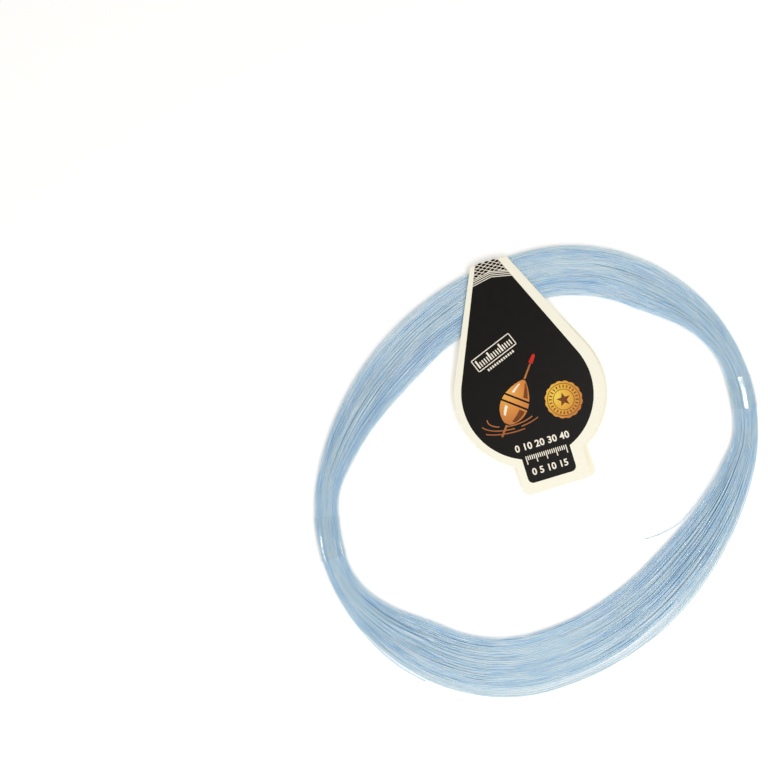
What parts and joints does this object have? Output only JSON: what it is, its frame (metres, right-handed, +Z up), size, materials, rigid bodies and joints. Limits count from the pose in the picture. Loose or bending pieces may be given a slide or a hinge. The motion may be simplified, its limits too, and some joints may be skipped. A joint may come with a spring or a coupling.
{
  "type": "fishing line hank",
  "caption": "Loose oval hank of fine blue fishing line, nipped by clear sleeves, with a folded card label that slides round the loop and opens at its crease.",
  "frame": {"origin": "middle of the loop, on the surface that the hank lies on", "axes": "+Z up out of the flat hank, +X towards the right sleeve, +Y towards the label's fold"},
  "size_m": [0.1912, 0.1728, 0.0034],
  "materials": {
    "line": "pale blue nylon monofilament, partly see-through",
    "sleeve": "clear flattened vinyl tube",
    "card_print": "coated card printed black with a cream border",
    "card_edge": "coated card, cream"
  },
  "bodies": {
    "coil": {"line_coil": "line", "line_start_tail": "line", "line_end_tail": "line"},
    "label": {"label_back_leaf": "card_print", "label_spine": "card_edge"},
    "label_flap": {"label_front_leaf": "card_print"},
    "left_sleeve": {"left_sleeve": "sleeve"},
    "right_sleeve": {"right_sleeve": "sleeve"}
  },
  "joints": [
    {"name": "label_slide", "type": "hinge", "parent": "coil", "child": "label", "pos_m": [0.01823, -0.02403, 0], "axis": [0, 0, 1], "range_deg": [-10, 10]},
    {"name": "label_opening", "type": "hinge", "parent": "label", "child": "label_flap", "pos_m": [0.00566, 0.08656, 0.0034], "axis": [-1, 0, 0], "range_deg": [0, 165]},
    {"name": "left_sleeve_slide", "type": "hinge", "parent": "coil", "child": "left_sleeve", "pos_m": [-0.02031, -0.01126, 0], "axis": [0, 0, 1], "range_deg": [-3, 3]},
    {"name": "right_sleeve_slide", "type": "hinge", "parent": "coil", "child": "right_sleeve", "pos_m": [0.02031, 0.01126, 0], "axis": [0, 0, 1], "range_deg": [-3, 3]}
  ]
}
